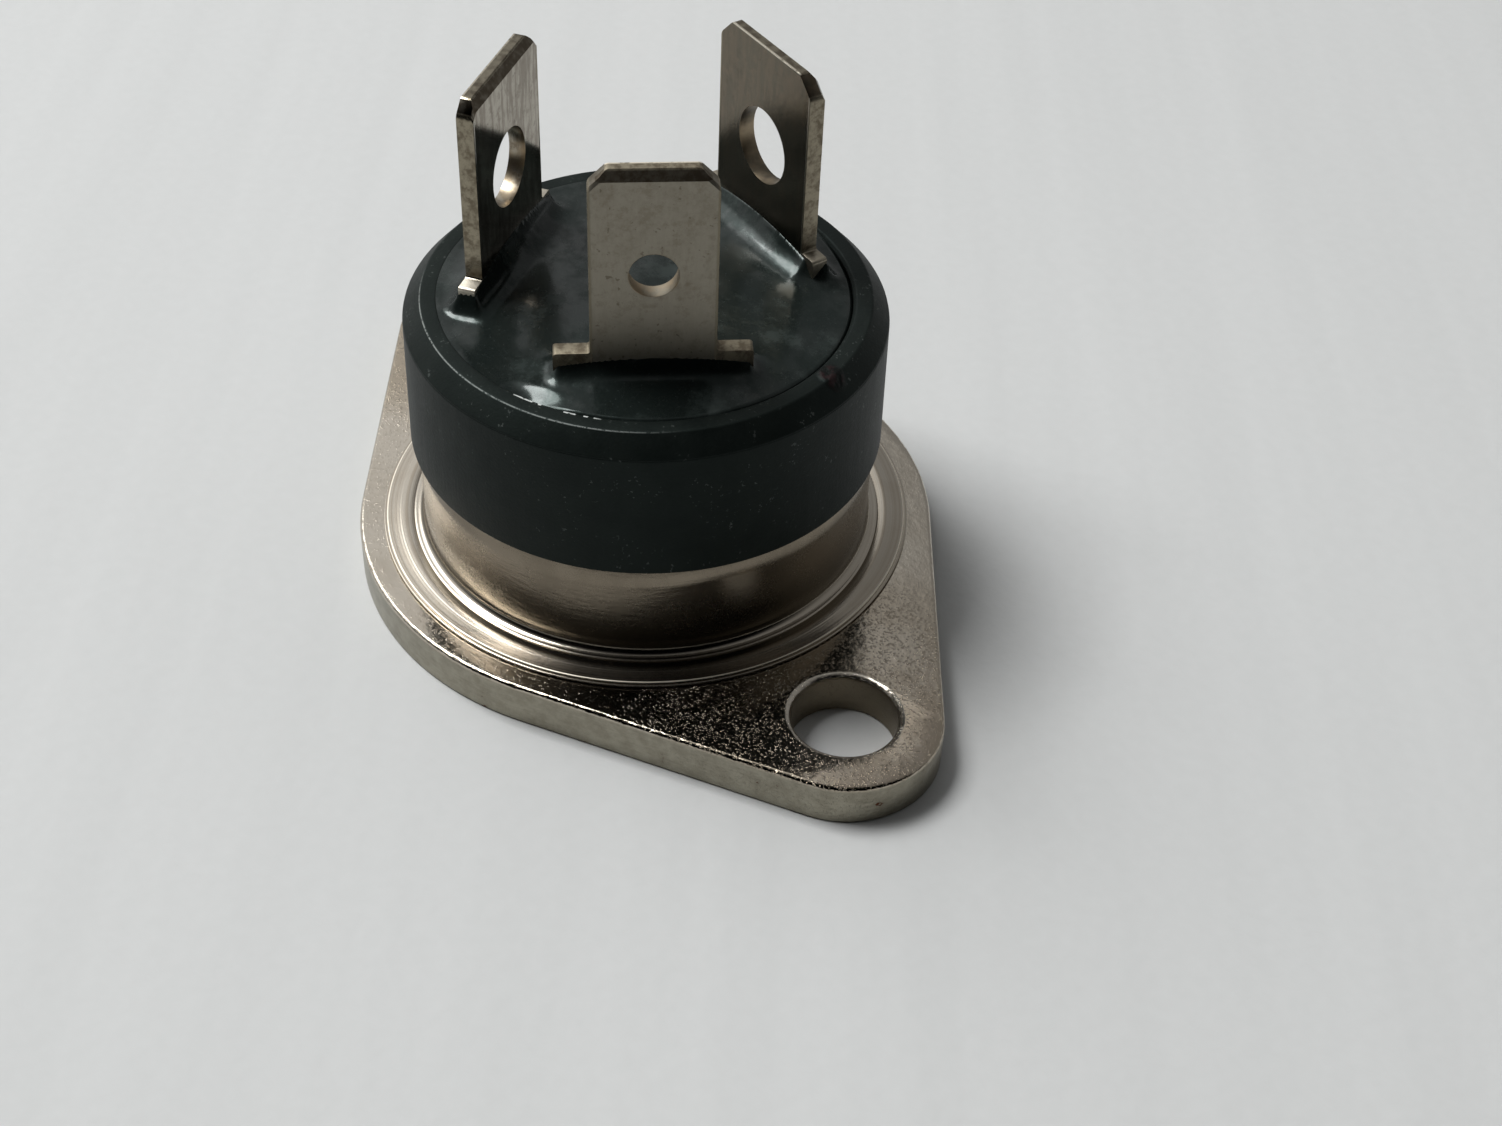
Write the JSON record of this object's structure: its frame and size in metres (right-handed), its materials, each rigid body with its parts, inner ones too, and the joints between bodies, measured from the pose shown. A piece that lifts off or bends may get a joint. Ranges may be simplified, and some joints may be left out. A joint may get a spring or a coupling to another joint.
{
  "type": "triac",
  "caption": "Power triac in a round moulded case on a lozenge-shaped mounting flange, with a gate tab and two wide main tabs standing up out of domed resin.",
  "frame": {"origin": "centre of the case on the underside of the flange, which is the face that sits on the heatsink", "axes": "+Z along the case's axis, away from the heatsink; +X through the two mounting holes, towards the side of the gate terminal; +Y towards the second main terminal"},
  "size_m": [0.0382, 0.025, 0.0224],
  "materials": {
    "flange_metal": "satin nickel plate on copper, slightly grainy",
    "collar_metal": "drawn and nickel plated sheet, fairly bright",
    "moulding": "matte charcoal moulding",
    "resin": "glossy black casting resin",
    "gel": "clear soft gel",
    "terminal_metal": "tinned sheet, dulled and lightly stained",
    "ceramic": "fired white ceramic",
    "solder": "soft solder",
    "copper": "bare copper",
    "silicon": "polished silicon"
  },
  "bodies": {
    "root": {"base_flange": "flange_metal", "collar": "collar_metal", "housing": "moulding", "potting_resin": "resin", "silicone_gel": "gel", "gate_terminal": "terminal_metal", "main_terminal_1": "terminal_metal", "main_terminal_2": "terminal_metal", "ceramic_insulator": "ceramic", "base_solder": "solder", "chip_pad": "copper", "chip_solder": "solder", "triac_chip": "silicon", "top_solder": "solder", "pad_solder": "solder", "gate_solder": "solder", "gate_wire": "copper"}
  },
  "joints": []
}
